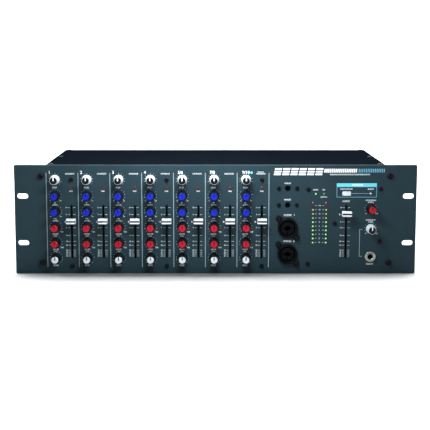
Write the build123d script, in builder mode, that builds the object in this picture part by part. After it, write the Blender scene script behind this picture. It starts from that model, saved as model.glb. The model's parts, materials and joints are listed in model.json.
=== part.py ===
from build123d import *
import os

# Three-unit, 19-inch rack mixer with a built-in wireless receiver.
# The origin is at the centre of the four rack slots, on the panel's back face.
# +X is to the right, +Z is up, and the panel faces -Y. All sizes are in millimetres.

os.makedirs("parts", exist_ok=True)

# Front panel
PANEL_WIDTH = 482.6
PANEL_HEIGHT = 132.5
PANEL_THICK = 3.0
PANEL_CORNER = 1.5
PANEL_EDGE = 0.5
FACE_Y = -PANEL_THICK
RACK_SPACING_X = 463.0
RACK_SPACING_Z = 57.15
RACK_SLOT_LENGTH = 13.5
RACK_SLOT_WIDTH = 6.5

# Chassis
CHASSIS_WIDTH = 410.0
CHASSIS_HEIGHT = 130.1
SHEET = 1.2
REAR_Y = 145.8
FLANGE_REACH = 11.0
FLANGE_HEIGHT = 124.0
LIP_WIDTH = 12.0
REAR_LIP = 11.0
SIDE_X = CHASSIS_WIDTH / 2
TOP_Z = CHASSIS_HEIGHT / 2

# Channel strips
STRIP_PITCH = 38.1
FIRST_STRIP_X = -202.7
KNOB_IN_STRIP = 10.5
FADER_IN_STRIP = 29.8
STRIP_NAMES = ["ch1", "ch2", "ch3", "ch4", "ch5_6", "ch7_8", "ch9_10"]
KNOB_NAMES = ["trim_knob", "eq_high_knob", "eq_low_knob", "aux_1_knob", "aux_2_knob", "pan_knob"]
TOP_KNOB_Z = 48.8
KNOB_PITCH = 19.2
PEAK_LIGHT_Z = 38.9
STRIP_X = [FIRST_STRIP_X + STRIP_PITCH * i for i in range(len(STRIP_NAMES))]
KNOB_Z = [TOP_KNOB_Z - KNOB_PITCH * i for i in range(len(KNOB_NAMES))]
FADER_X = [x + FADER_IN_STRIP for x in STRIP_X]
MASTER_FADER_X = 157.0
AUX_RETURN = (186.6, 13.3)
PHONES_LEVEL = (186.8, -11.0)

# Knobs
KNOB_GAP = 0.8
KNOB_BASE_R = 5.9
KNOB_SKIRT = 1.4
KNOB_TOP_R = 4.75
KNOB_TOP = 10.4
CAP_R = 4.1
CAP_SEAT = 9.0
CAP_TOP = 11.5
CAP_EDGE = 0.8
SHAFT_R = 2.95
SHAFT_FLAT = 1.8
SHAFT_SEAT_TOP = 7.6
SHAFT_HOLE_R = 3.6

# Potentiometers, board and faders behind the panel
BOARD_Y = 12.0
BOARD_THICK = 1.6
POT_WIDTH = 9.8
POT_HEIGHT = 11.5
POT_FRONT_Y = 5.5
BUSHING_R = 4.4
BUSHING_FRONT_Y = 0.8
SHAFT_END_Y = 9.0
FADER_SLOT_TOP = 18.2
FADER_SLOT_BOTTOM = -47.9
FADER_SLOT_WIDTH = 2.4
FADER_SLOT_LENGTH = FADER_SLOT_TOP - FADER_SLOT_BOTTOM
FADER_SLOT_Z = (FADER_SLOT_TOP + FADER_SLOT_BOTTOM) / 2
FADER_REST_Z = -0.9
MASTER_REST_Z = 8.1
FADER_CAP_WIDTH = 11.0
FADER_CAP_HEIGHT = 6.0
FADER_CAP_BACK = 3.4
FADER_CAP_TOP = 9.6
FADER_BODY_FRONT = 2.0
FADER_BODY_WIDTH = 9.0
FADER_BODY_LENGTH = 73.0

# Lights
LIGHT_R = 1.5
LIGHT_HOLE_R = 1.62
LIGHT_PROUD = 1.1
METER_X = [117.0, 132.8]
METER_TOP_Z = 17.1
METER_PITCH = 5.0
METER_ROWS = 10
METER_POINTS = [(x, METER_TOP_Z - METER_PITCH * i) for x in METER_X for i in range(METER_ROWS)]
LINK_POINTS = [(120.1, 31.7), (130.0, 31.7)]
PEAK_POINTS = [(x, PEAK_LIGHT_Z) for x in FADER_X]
STATUS_POINT = (186.0, 31.8)
STATUS_R = 1.0
STATUS_HOLE_R = 1.12

# Pairing button
BUTTON = (157.1, 31.8)
BUTTON_WIDTH = 10.0
BUTTON_HEIGHT = 5.0
BUTTON_PROUD = 1.3
BUTTON_GAP = 0.35

# Front sockets
COMBO_POINTS = [(86.8, -10.3), (86.8, -42.1)]
COMBO_R = 12.2
COMBO_BARREL_R = 10.9
COMBO_EAR = (10.7, 11.5)
COMBO_EAR_R = 3.6
MINI_POINTS = [(86.7, 37.9), (86.7, 17.7)]
MINI_SCREW_REACH = 10.9
MINI_R = 3.4
PHONES = (186.6, -45.1)
JACK_BORE_R = 3.3
JACK_BUSHING_R = 4.7
JACK_HOLE_R = 4.9
JACK_NUT_R = 6.6

# Rear sockets
REAR_COMBO_POINTS = [(-172.0 + 38.0 * i, 16.0) for i in range(4)]
REAR_JACK_POINTS = [(-22.0 + 25.0 * i, z) for i in range(6) for z in (29.0, 3.0)]
INLET = (165.0, -34.0)
SWITCH = (165.0, 6.0)
SWITCH_PIVOT_Y = 143.0
SWITCH_TILT = 9.0

# Screws
CORNER_SCREWS = [(sx * 209.0, sz * 52.7) for sx in (-1, 1) for sz in (-1, 1)]
PANEL_SCREWS = [
    (FADER_X[0], 48.4), (FADER_X[0], -56.6), (FADER_X[3], 48.4), (FADER_X[3], -56.6),
    (FADER_X[6], 48.4), (FADER_X[6], -56.6), (111.4, 36.7), (111.4, -54.4),
    (143.4, -4.7), (198.1, 37.1), (198.2, -26.8),
]
MINI_SCREWS = [(x + s * MINI_SCREW_REACH, z) for x, z in MINI_POINTS for s in (-1, 1)]
COVER_SCREWS = [(sx * 198.5, y) for sx in (-1, 1) for y in (8.0, 72.0, 137.0)]
LIP_SCREWS = [(-185.0, 59.3), (0.0, 59.3), (185.0, 59.3)]


def ear_points(points):
    """Screw places on the two ears of each combination socket."""
    ex, ez = COMBO_EAR
    return [(x + s * -ex, z + s * ez) for x, z in points for s in (-1, 1)]


def upright(y):
    """A plane across the depth at y: local x is +X, local y is +Z, and its normal is -Y."""
    return Plane.XZ.offset(-y)


def turning(x, y, z):
    """A plane for a profile turned about an axis along Y: local x is the radius, local y is -Y."""
    return Plane(origin=(x, y, z), x_dir=(1, 0, 0), z_dir=(0, 0, -1))


def save(name, pieces):
    """Write one node: a single solid, or a group of separate solids."""
    node = Compound(label=name, children=pieces)
    export_step(node, f"parts/{name}.step")


# ---------------------------------------------------------------- front panel
with BuildPart() as front_panel:
    with BuildSketch(upright(0)) as panel_outline:
        RectangleRounded(PANEL_WIDTH, PANEL_HEIGHT, PANEL_CORNER)
    extrude(amount=PANEL_THICK)
    fillet(front_panel.faces().sort_by(Axis.Y)[0].edges(), PANEL_EDGE)
    with BuildSketch(upright(0)) as panel_holes:
        with GridLocations(RACK_SPACING_X, RACK_SPACING_Z, 2, 2):
            SlotOverall(RACK_SLOT_LENGTH, RACK_SLOT_WIDTH)
        with Locations(*[(x + KNOB_IN_STRIP, z) for x in STRIP_X for z in KNOB_Z]):
            Circle(SHAFT_HOLE_R)
        with Locations(AUX_RETURN, PHONES_LEVEL):
            Circle(SHAFT_HOLE_R)
        with Locations(*[(x, FADER_SLOT_Z) for x in FADER_X + [MASTER_FADER_X]]):
            SlotOverall(FADER_SLOT_LENGTH, FADER_SLOT_WIDTH, rotation=90)
        with Locations(*(PEAK_POINTS + METER_POINTS + LINK_POINTS)):
            Circle(LIGHT_HOLE_R)
        with Locations(STATUS_POINT):
            Circle(STATUS_HOLE_R)
        with Locations(BUTTON):
            RectangleRounded(BUTTON_WIDTH + 2 * BUTTON_GAP, BUTTON_HEIGHT + 2 * BUTTON_GAP, 0.6)
        with Locations(*COMBO_POINTS):
            Circle(COMBO_BARREL_R + 0.2)
        with Locations(*MINI_POINTS):
            Circle(MINI_R + 0.2)
        with Locations(PHONES):
            Circle(JACK_HOLE_R)
        with Locations(*CORNER_SCREWS):
            Circle(2.2)
        with Locations(*(PANEL_SCREWS + MINI_SCREWS + ear_points(COMBO_POINTS))):
            Circle(1.7)
    extrude(amount=PANEL_THICK, mode=Mode.SUBTRACT)
save("front_panel", [front_panel.part])

# --------------------------------------------------------------- chassis tray
VENT_COUNT = 22
VENT_PITCH = 12.0
VENT_LENGTH = 24.0
VENT_WIDTH = 3.0
REAR_VENT_Z = -36.0
REAR_VENT_X = -50.0
SIDE_VENT_COUNT = 9
SIDE_VENT_Y = 74.0
TRAY_HEIGHT = CHASSIS_HEIGHT - SHEET
TRAY_Z = -SHEET / 2
JACK_PANEL_HOLE = 5.1
with BuildPart() as chassis_tray:
    with BuildSketch(upright(0)) as tray_section:
        with Locations((0, TRAY_Z)):
            Rectangle(CHASSIS_WIDTH, TRAY_HEIGHT)
            Rectangle(CHASSIS_WIDTH - 2 * SHEET, TRAY_HEIGHT - 2 * SHEET, mode=Mode.SUBTRACT)
        with Locations((0, TOP_Z - 1.5 * SHEET)):
            Rectangle(CHASSIS_WIDTH - 2 * (SHEET + LIP_WIDTH), SHEET, mode=Mode.SUBTRACT)
    extrude(amount=-REAR_Y)
    with BuildSketch(upright(REAR_Y)) as rear_wall:
        with Locations((0, TRAY_Z)):
            Rectangle(CHASSIS_WIDTH, TRAY_HEIGHT)
    extrude(amount=SHEET)
    with BuildSketch(upright(0)) as flanges:
        for side in (-1, 1):
            with Locations((side * (SIDE_X + FLANGE_REACH / 2), 0)):
                Rectangle(FLANGE_REACH, FLANGE_HEIGHT)
    extrude(amount=-SHEET)
    with BuildSketch(upright(REAR_Y)) as rear_cutouts:
        with Locations(*REAR_COMBO_POINTS):
            Circle(COMBO_BARREL_R + 0.2)
        with Locations(*REAR_JACK_POINTS):
            Circle(JACK_PANEL_HOLE)
        with Locations(INLET):
            Rectangle(27.6, 20.2)
        with Locations(SWITCH):
            Rectangle(14.0, 21.6)
        with Locations((REAR_VENT_X, REAR_VENT_Z)):
            with GridLocations(VENT_PITCH, 1, VENT_COUNT, 1):
                SlotOverall(VENT_LENGTH, VENT_WIDTH, rotation=90)
        with Locations(*(ear_points(REAR_COMBO_POINTS) + LIP_SCREWS)):
            Circle(1.7)
        with Locations(*[(INLET[0] + s * 20.0, INLET[1]) for s in (-1, 1)]):
            Circle(1.7)
    extrude(amount=SHEET, mode=Mode.SUBTRACT)
    with BuildSketch(upright(0)) as flange_holes:
        with Locations(*CORNER_SCREWS):
            Circle(2.2)
    extrude(amount=-SHEET, mode=Mode.SUBTRACT)
    with BuildSketch(Plane.YZ.offset(-SIDE_X)) as side_vents:
        with Locations((SIDE_VENT_Y, 0)):
            with GridLocations(VENT_PITCH, 40.0, SIDE_VENT_COUNT, 2):
                SlotOverall(VENT_LENGTH, VENT_WIDTH, rotation=90)
    extrude(amount=CHASSIS_WIDTH, mode=Mode.SUBTRACT)
    with BuildSketch(Plane.XY.offset(TOP_Z - 2 * SHEET)) as lip_holes:
        with Locations(*COVER_SCREWS):
            Circle(1.7)
    extrude(amount=SHEET, mode=Mode.SUBTRACT)
save("chassis_tray", [chassis_tray.part])

# ------------------------------------------------------------------ top cover
with BuildPart() as top_cover:
    with BuildSketch(Plane.XY.offset(TOP_Z - SHEET)) as cover_plate:
        with Locations((0, REAR_Y / 2)):
            Rectangle(CHASSIS_WIDTH, REAR_Y)
        with Locations(*COVER_SCREWS):
            Circle(1.7, mode=Mode.SUBTRACT)
    extrude(amount=SHEET)
    with BuildSketch(upright(REAR_Y)) as cover_lip:
        with Locations((0, TOP_Z - REAR_LIP / 2)):
            Rectangle(CHASSIS_WIDTH, REAR_LIP)
        with Locations(*LIP_SCREWS):
            Circle(1.7, mode=Mode.SUBTRACT)
    extrude(amount=-SHEET)
    fillet(top_cover.edges().filter_by(Axis.X).group_by(Axis.Z)[-1].sort_by(Axis.Y)[-1], SHEET * 0.9)
save("top_cover", [top_cover.part])


# ---------------------------------------------------------------------- knobs
def shaft_section(radius, flat):
    """A round with one flat on its upper side, drawn in the sketch that is open."""
    Circle(radius)
    with Locations((0, flat + radius / 2)):
        Rectangle(2 * radius, radius, mode=Mode.SUBTRACT)


def make_knob(name, x, z):
    """A control knob: its skirted body, its coloured cap and the steel shaft that turns with it."""
    with BuildPart() as knob_body:
        with BuildSketch(turning(x, FACE_Y, z)) as half_body:
            with BuildLine():
                Polyline(
                    (0, KNOB_GAP), (KNOB_BASE_R, KNOB_GAP), (KNOB_BASE_R, KNOB_GAP + KNOB_SKIRT),
                    (KNOB_BASE_R - 0.4, KNOB_GAP + KNOB_SKIRT + 0.5), (KNOB_TOP_R, KNOB_TOP),
                    (CAP_R, KNOB_TOP), (CAP_R, CAP_SEAT), (0, CAP_SEAT), close=True,
                )
            make_face()
        revolve(axis=Axis((x, FACE_Y, z), (0, -1, 0)))
        with BuildSketch(upright(FACE_Y - KNOB_GAP)) as bore:
            with Locations((x, z)):
                shaft_section(SHAFT_R, SHAFT_FLAT)
        extrude(bore.sketch, amount=SHAFT_SEAT_TOP - KNOB_GAP, mode=Mode.SUBTRACT)
    with BuildPart() as knob_cap:
        with BuildSketch(upright(FACE_Y - CAP_SEAT)) as cap_round:
            with Locations((x, z)):
                Circle(CAP_R)
        extrude(amount=CAP_TOP - CAP_SEAT)
        fillet(knob_cap.faces().sort_by(Axis.Y)[0].edges(), CAP_EDGE)
    with BuildPart() as knob_shaft:
        with BuildSketch(upright(SHAFT_END_Y)) as shaft_round:
            with Locations((x, z)):
                Circle(SHAFT_R)
        extrude(amount=SHAFT_END_Y - BUSHING_FRONT_Y)
        with BuildSketch(upright(BUSHING_FRONT_Y)) as shaft_flat:
            with Locations((x, z)):
                shaft_section(SHAFT_R, SHAFT_FLAT)
        extrude(amount=BUSHING_FRONT_Y - FACE_Y + SHAFT_SEAT_TOP)
    save(name, [knob_body.part, knob_cap.part, knob_shaft.part])


for strip, strip_x in zip(STRIP_NAMES, STRIP_X):
    for knob, knob_z in zip(KNOB_NAMES, KNOB_Z):
        make_knob(f"{strip}_{knob}", strip_x + KNOB_IN_STRIP, knob_z)
make_knob("aux_return_knob", *AUX_RETURN)
make_knob("phones_level_knob", *PHONES_LEVEL)

# --------------------------------------------------------------------- faders
LEVER_WIDTH = 1.2
LEVER_HEIGHT = 4.0
LEVER_END_Y = 6.0
CARRIAGE_WIDTH = 5.0
CARRIAGE_HEIGHT = 6.0
CARRIAGE_DEPTH = 2.4


def make_fader(name, x, z):
    """A fader: its finger cap, the steel lever through the slot, and the sliding carriage behind."""
    back_y = FACE_Y - FADER_CAP_BACK
    with BuildPart() as cap:
        with BuildSketch(Plane(origin=(x, back_y, z), x_dir=(0, 0, 1), z_dir=(1, 0, 0))) as side_view:
            half = FADER_CAP_HEIGHT / 2
            reach = FADER_CAP_TOP - FADER_CAP_BACK
            with BuildLine():
                Line((-half, 0), (half, 0))
                Line((half, 0), (half * 0.92, reach - 0.7))
                ThreePointArc((half * 0.92, reach - 0.7), (half * 0.8, reach - 0.1), (half * 0.5, reach))
                ThreePointArc((half * 0.5, reach), (0, reach - 0.7), (-half * 0.5, reach))
                ThreePointArc((-half * 0.5, reach), (-half * 0.8, reach - 0.1), (-half * 0.92, reach - 0.7))
                Line((-half * 0.92, reach - 0.7), (-half, 0))
            make_face()
        extrude(amount=FADER_CAP_WIDTH / 2, both=True)
        with BuildSketch(upright(back_y)) as lever_seat:
            with Locations((x, z)):
                Rectangle(LEVER_WIDTH, LEVER_HEIGHT)
        extrude(lever_seat.sketch, amount=reach * 0.6, mode=Mode.SUBTRACT)
    with BuildPart() as lever:
        with BuildSketch(upright(LEVER_END_Y)) as lever_section:
            with Locations((x, z)):
                Rectangle(LEVER_WIDTH, LEVER_HEIGHT)
        extrude(amount=LEVER_END_Y - back_y + reach * 0.6)
    with BuildPart() as carriage:
        with BuildSketch(upright(LEVER_END_Y + CARRIAGE_DEPTH)) as carriage_section:
            with Locations((x, z)):
                Rectangle(CARRIAGE_WIDTH, CARRIAGE_HEIGHT)
        extrude(amount=CARRIAGE_DEPTH)
    save(name, [cap.part, lever.part, carriage.part])


for strip, fader_x in zip(STRIP_NAMES, FADER_X):
    make_fader(f"{strip}_fader", fader_x, FADER_REST_Z)
make_fader("master_fader", MASTER_FADER_X, MASTER_REST_Z)

# ------------------------------------------------------------- pairing button
PLUNGER_END_Y = 7.6
with BuildPart() as pair_button:
    with BuildSketch(upright(1.6)) as button_flange:
        with Locations(BUTTON):
            RectangleRounded(BUTTON_WIDTH + 2.6, BUTTON_HEIGHT + 2.6, 1.0)
    extrude(amount=1.0)
    with BuildSketch(upright(0.6)) as button_cap:
        with Locations(BUTTON):
            RectangleRounded(BUTTON_WIDTH, BUTTON_HEIGHT, 0.5)
    extrude(amount=0.6 - FACE_Y + BUTTON_PROUD)
    fillet(pair_button.faces().sort_by(Axis.Y)[0].edges(), 0.35)
    with BuildSketch(upright(PLUNGER_END_Y)) as plunger:
        with Locations(BUTTON):
            Circle(1.6)
    extrude(amount=PLUNGER_END_Y - 1.6)
save("pair_button", [pair_button.part])

# --------------------------------------------------------------- power switch
ROCKER_HALF_WIDTH = 5.5
ROCKER_HALF_HEIGHT = 7.8
ROCKER_PIN_R = 1.2
ROCKER_PIN_REACH = 6.7
switch_pivot = (SWITCH[0], SWITCH_PIVOT_Y, SWITCH[1])
rocker_plane = Plane(origin=switch_pivot, x_dir=(0, 1, 0), z_dir=(1, 0, 0)).rotated((SWITCH_TILT, 0, 0))
with BuildPart() as power_switch:
    with BuildSketch(rocker_plane) as rocker_profile:
        with BuildLine():
            Polyline(
                (-1.5, -ROCKER_HALF_HEIGHT), (6.2, -ROCKER_HALF_HEIGHT), (4.2, 0),
                (6.2, ROCKER_HALF_HEIGHT), (-1.5, ROCKER_HALF_HEIGHT), close=True,
            )
        make_face()
    extrude(amount=ROCKER_HALF_WIDTH, both=True)
    fillet(power_switch.faces().sort_by(Axis.Y)[-2:].edges().filter_by(Axis.X), 0.4)
    with BuildSketch(Plane(origin=switch_pivot, x_dir=(0, 1, 0), z_dir=(1, 0, 0))) as pin:
        Circle(ROCKER_PIN_R)
    extrude(amount=ROCKER_PIN_REACH, both=True)
save("power_switch", [power_switch.part])

# ------------------------------------------------- boards and what sits on them
KNOB_POINTS = [(x + KNOB_IN_STRIP, z) for x in STRIP_X for z in KNOB_Z] + [AUX_RETURN, PHONES_LEVEL]
FADER_POINTS = [(x, FADER_SLOT_Z) for x in FADER_X + [MASTER_FADER_X]]
REAR_BOARD_Y = 112.0
BOARD_HALF_HEIGHT = 60.0


def board(y, left, right, bottom, top, cutouts=()):
    """An upright circuit board between two heights, with its front side at y."""
    with BuildPart() as sheet:
        with BuildSketch(upright(y)) as board_outline:
            with Locations(((left + right) / 2, (bottom + top) / 2)):
                Rectangle(right - left, top - bottom)
            for x, z, width, height in cutouts:
                with Locations((x, z)):
                    Rectangle(width, height, mode=Mode.SUBTRACT)
        extrude(amount=-BOARD_THICK)
    return sheet.part


channel_board = board(BOARD_Y, -201.0, 66.0, -BOARD_HALF_HEIGHT, BOARD_HALF_HEIGHT)
master_board = board(
    BOARD_Y, 107.0, 201.0, -BOARD_HALF_HEIGHT, BOARD_HALF_HEIGHT,
    cutouts=[(PHONES[0], -46.0, 18.0, 30.0)],
)
input_board = board(34.0, 70.0, 103.0, -BOARD_HALF_HEIGHT, 2.0)
mini_board = board(BOARD_Y, 75.0, 98.0, 8.0, 48.0)
rear_board = board(REAR_BOARD_Y, -192.0, 118.0, -14.0, 46.0)

with BuildPart() as pot_bodies:
    with BuildSketch(upright(BOARD_Y)) as pot_cases:
        with Locations(*KNOB_POINTS):
            Rectangle(POT_WIDTH, POT_HEIGHT)
    extrude(amount=BOARD_Y - POT_FRONT_Y)
    with BuildSketch(upright(POT_FRONT_Y)) as bushings:
        with Locations(*KNOB_POINTS):
            Circle(BUSHING_R)
    extrude(amount=POT_FRONT_Y - BUSHING_FRONT_Y)
    with BuildSketch(upright(BUSHING_FRONT_Y)) as pot_bores:
        with Locations(*KNOB_POINTS):
            Circle(SHAFT_HOLE_R - 0.1)
    extrude(amount=BUSHING_FRONT_Y - SHAFT_END_Y - 0.6, mode=Mode.SUBTRACT)

with BuildPart() as fader_bodies:
    with BuildSketch(upright(BOARD_Y)) as fader_cases:
        with Locations(*FADER_POINTS):
            Rectangle(FADER_BODY_WIDTH, FADER_BODY_LENGTH)
    extrude(amount=BOARD_Y - FADER_BODY_FRONT)
    with BuildSketch(upright(FADER_BODY_FRONT)) as fader_slots:
        with Locations(*FADER_POINTS):
            Rectangle(FADER_SLOT_WIDTH + 0.2, FADER_SLOT_LENGTH)
    extrude(amount=FADER_BODY_FRONT - BOARD_Y + 2.5, mode=Mode.SUBTRACT)
    with BuildSketch(upright(FADER_BODY_FRONT + 1.2)) as fader_tracks:
        with Locations(*FADER_POINTS):
            Rectangle(CARRIAGE_WIDTH + 1.2, FADER_SLOT_LENGTH + 3.0)
    extrude(amount=FADER_BODY_FRONT + 1.2 - BOARD_Y + 2.5, mode=Mode.SUBTRACT)


def lights(points, radius, name):
    """Domed indicator lights that stand on their board and look out through the panel."""
    with BuildPart() as lens:
        with BuildSketch(upright(BOARD_Y)) as lens_round:
            Circle(radius)
        extrude(amount=BOARD_Y - FACE_Y + LIGHT_PROUD)
        fillet(lens.faces().sort_by(Axis.Y)[0].edges(), radius * 0.65)
    with BuildPart() as placed:
        with Locations(*[(x, 0, z) for x, z in points]):
            add(lens.part)
    placed.part.label = name
    return placed.part


panel_lights = lights(PEAK_POINTS + METER_POINTS + LINK_POINTS, LIGHT_R, "panel_lights")
status_light = lights([STATUS_POINT], STATUS_R, "status_light")

with BuildPart() as pair_switch:
    with BuildSketch(upright(BOARD_Y)) as switch_case:
        with Locations(BUTTON):
            Rectangle(6.2, 6.2)
    extrude(amount=BOARD_Y - PLUNGER_END_Y - 1.0)

# Wireless receiver module on the back of the master board
MODULE = (158.0, 30.0)
MODULE_BACK_Y = BOARD_Y + BOARD_THICK
with BuildPart() as wireless_module:
    with BuildSketch(upright(MODULE_BACK_Y)) as module_board:
        with Locations(MODULE):
            Rectangle(34.0, 22.0)
    extrude(amount=-1.0)
    with BuildSketch(upright(MODULE_BACK_Y + 1.0)) as shield_can:
        with Locations((MODULE[0] - 5.0, MODULE[1])):
            RectangleRounded(20.0, 18.0, 0.8)
    extrude(amount=-2.4)
    with BuildSketch(upright(MODULE_BACK_Y + 1.0)) as antenna:
        with Locations(*[(MODULE[0] + 8.0 + 1.6 * i, MODULE[1]) for i in range(5)]):
            Rectangle(0.6, 14.0)
        with Locations(*[(MODULE[0] + 8.8 + 3.2 * i, MODULE[1] + 7.0) for i in range(2)]):
            Rectangle(2.2, 0.6)
        with Locations(*[(MODULE[0] + 10.4 + 3.2 * i, MODULE[1] - 7.0) for i in range(2)]):
            Rectangle(2.2, 0.6)
    extrude(amount=-0.2)

# Mains power supply on the chassis floor
FLOOR_Z = -TOP_Z + SHEET
POWER_BOARD_Z = FLOOR_Z + 8.0
with BuildPart() as power_board:
    with BuildSketch(Plane.XY.offset(POWER_BOARD_Z)) as power_board_outline:
        with Locations((60.0, 76.0)):
            Rectangle(110.0, 60.0)
    extrude(amount=BOARD_THICK)
with BuildPart() as capacitors:
    with BuildSketch(Plane.XY.offset(POWER_BOARD_Z + BOARD_THICK)) as capacitor_rounds:
        with Locations((30.0, 62.0), (30.0, 86.0), (54.0, 62.0), (54.0, 86.0)):
            Circle(9.0)
    extrude(amount=32.0)
    fillet(capacitors.faces().filter_by(Axis.Z).group_by(Axis.Z)[-1].edges(), 1.2)
with BuildPart() as heat_sink:
    with BuildSketch(Plane.XY.offset(POWER_BOARD_Z + BOARD_THICK)) as heat_sink_section:
        with Locations((90.0, 76.0)):
            Rectangle(3.0, 50.0)
        with Locations(*[(90.0, 76.0 + d) for d in (-24.0, -16.0, -8.0, 0, 8.0, 16.0, 24.0)]):
            Rectangle(18.0, 1.6)
    extrude(amount=35.0)
with BuildPart() as transformer_core:
    with BuildSketch(Plane.XY.offset(FLOOR_Z)) as core_foot:
        with Locations((158.0, 66.0)):
            Rectangle(66.0, 30.0)
    extrude(amount=56.0)
    with BuildSketch(Plane.XZ.offset(-50.0)) as core_windows:
        with Locations(*[(158.0 + s * 16.5, FLOOR_Z + 28.0) for s in (-1, 1)]):
            Rectangle(11.0, 34.0)
    extrude(amount=-40.0, mode=Mode.SUBTRACT)
with BuildPart() as transformer_winding:
    with BuildSketch(Plane.XY.offset(FLOOR_Z + 11.3)) as winding_section:
        with Locations((158.0, 66.0)):
            RectangleRounded(43.0, 48.0, 6.0)
            Rectangle(22.4, 30.4, mode=Mode.SUBTRACT)
    extrude(amount=33.4)
with BuildPart() as winding_shell:
    add(transformer_winding.part)
    add(transformer_core.part, mode=Mode.SUBTRACT)

# Flat ribbon cables from the channel and master boards back to the rear socket board
RIBBON_THICK = 0.9


def ribbon(x, z_front, z_rear, width):
    """A flat cable folded from the back of a front board to the front of the rear board."""
    front_y = BOARD_Y + BOARD_THICK
    with BuildPart() as cable:
        with BuildSketch(Plane.YZ.offset(x)) as cable_side:
            with BuildLine() as cable_path:
                FilletPolyline(
                    (front_y, z_front), (front_y + 14.0, z_front), (front_y + 30.0, z_rear),
                    (REAR_BOARD_Y, z_rear), radius=5.0,
                )
            trace(line_width=RIBBON_THICK)
        extrude(amount=width / 2, both=True)
    return cable.part


ribbons = [ribbon(-60.0, -30.0, 40.0, 33.0), ribbon(112.5, 20.0, 40.0, 10.0)]

save("circuit_boards", [
    channel_board, master_board, input_board, mini_board, rear_board, pot_bodies.part,
    fader_bodies.part, panel_lights, status_light, pair_switch.part, wireless_module.part,
    power_board.part, capacitors.part, heat_sink.part, transformer_core.part,
    winding_shell.part, *ribbons,
])

# -------------------------------------------------------------------- sockets
PLUG_R = 3.3
PIN_HOLE_R = 1.5
PIN_CIRCLE_R = 5.3
PIN_HOLE_DEPTH = 3.0
RING_GROOVE_DEPTH = 1.8
COMBO_DEPTH = 24.0


def combo_socket():
    """A combination socket at the origin, facing -Y, with its flange on the plane y = 0."""
    ear_x, ear_z = COMBO_EAR
    with BuildPart() as socket:
        with BuildSketch(upright(0)) as flange:
            Circle(COMBO_R)
            with Locations((-ear_x, ear_z), (ear_x, -ear_z)):
                Circle(COMBO_EAR_R)
            with BuildLine():
                Polyline(
                    (-ear_x - 2.4, ear_z - 2.7), (-ear_x + 2.4, ear_z + 2.7),
                    (ear_x + 2.4, -ear_z + 2.7), (ear_x - 2.4, -ear_z - 2.7), close=True,
                )
            make_face()
        extrude(amount=2.2)
        with BuildSketch(upright(0)) as barrel:
            Circle(COMBO_BARREL_R)
        extrude(amount=-COMBO_DEPTH)
        with BuildSketch(upright(-2.2)) as plug_ring:
            Circle(9.9)
            Circle(7.6, mode=Mode.SUBTRACT)
        extrude(amount=-RING_GROOVE_DEPTH, mode=Mode.SUBTRACT)
        with BuildSketch(upright(-2.2)) as plug_hole:
            Circle(PLUG_R)
        extrude(amount=-(COMBO_DEPTH + 2.2), mode=Mode.SUBTRACT)
        with BuildSketch(upright(-2.2)) as pin_holes:
            with Locations((-PIN_CIRCLE_R, 0), (PIN_CIRCLE_R, 0), (0, -PIN_CIRCLE_R)):
                Circle(PIN_HOLE_R)
        extrude(amount=-PIN_HOLE_DEPTH, mode=Mode.SUBTRACT)
        with BuildSketch(upright(0)) as ear_holes:
            with Locations((-ear_x, ear_z), (ear_x, -ear_z)):
                Circle(1.7)
        extrude(amount=2.2, mode=Mode.SUBTRACT)
    return socket.part


def jack_socket(bore_depth, nut_thick):
    """A 6.3 mm jack at the origin, facing -Y: its body with bushing and its ring nut, two solids."""
    with BuildPart() as jack_body:
        with BuildSketch(upright(PANEL_THICK + 0.3)) as jack_case:
            Rectangle(15.0, 18.0)
        extrude(amount=-22.0)
        with BuildSketch(upright(PANEL_THICK + 0.3)) as bushing:
            Circle(JACK_BUSHING_R)
        extrude(amount=PANEL_THICK + 0.3 + nut_thick)
        with BuildSketch(upright(-nut_thick)) as bore:
            Circle(JACK_BORE_R)
        extrude(amount=-bore_depth, mode=Mode.SUBTRACT)
    with BuildPart() as ring_nut:
        with BuildSketch(upright(0)) as nut_ring:
            Circle(JACK_NUT_R)
            Circle(JACK_BUSHING_R, mode=Mode.SUBTRACT)
        extrude(amount=nut_thick - 0.2)
        fillet(ring_nut.faces().sort_by(Axis.Y)[0].edges().sort_by(SortBy.RADIUS)[-1], 0.5)
    return [jack_body.part, ring_nut.part]


def placed(pieces, x, y, z, turn=0):
    """Copies of the pieces moved to a place, turned about the vertical first."""
    return [Pos(x, y, z) * Rot(0, 0, turn) * piece for piece in pieces]


combo = combo_socket()
front_jack = jack_socket(22.0, 2.0)
rear_jack = jack_socket(22.0, 2.0)
front_combos = [part for x, z in COMBO_POINTS for part in placed([combo], x, FACE_Y, z)]
rear_combos = [part for x, z in REAR_COMBO_POINTS for part in placed([combo], x, REAR_Y, z, 180)]
phones_jack = placed(front_jack, PHONES[0], FACE_Y, PHONES[1])
rear_jacks = [part for x, z in REAR_JACK_POINTS for part in placed(rear_jack, x, REAR_Y, z, 180)]

with BuildPart() as mini_sockets:
    with BuildSketch(upright(0)) as mini_barrels:
        with Locations(*MINI_POINTS):
            Circle(MINI_R)
    extrude(amount=1.6)
    with BuildSketch(upright(0.3)) as mini_cases:
        with Locations(*MINI_POINTS):
            Rectangle(11.0, 10.0)
    extrude(amount=0.3 - BOARD_Y)
    with BuildSketch(upright(-1.6)) as mini_bores:
        with Locations(*MINI_POINTS):
            Circle(1.85)
    extrude(amount=-11.0, mode=Mode.SUBTRACT)
    with BuildSketch(upright(-1.6)) as mini_mouths:
        with Locations(*MINI_POINTS):
            Circle(2.6)
    extrude(amount=-0.6, taper=30, mode=Mode.SUBTRACT)

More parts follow.
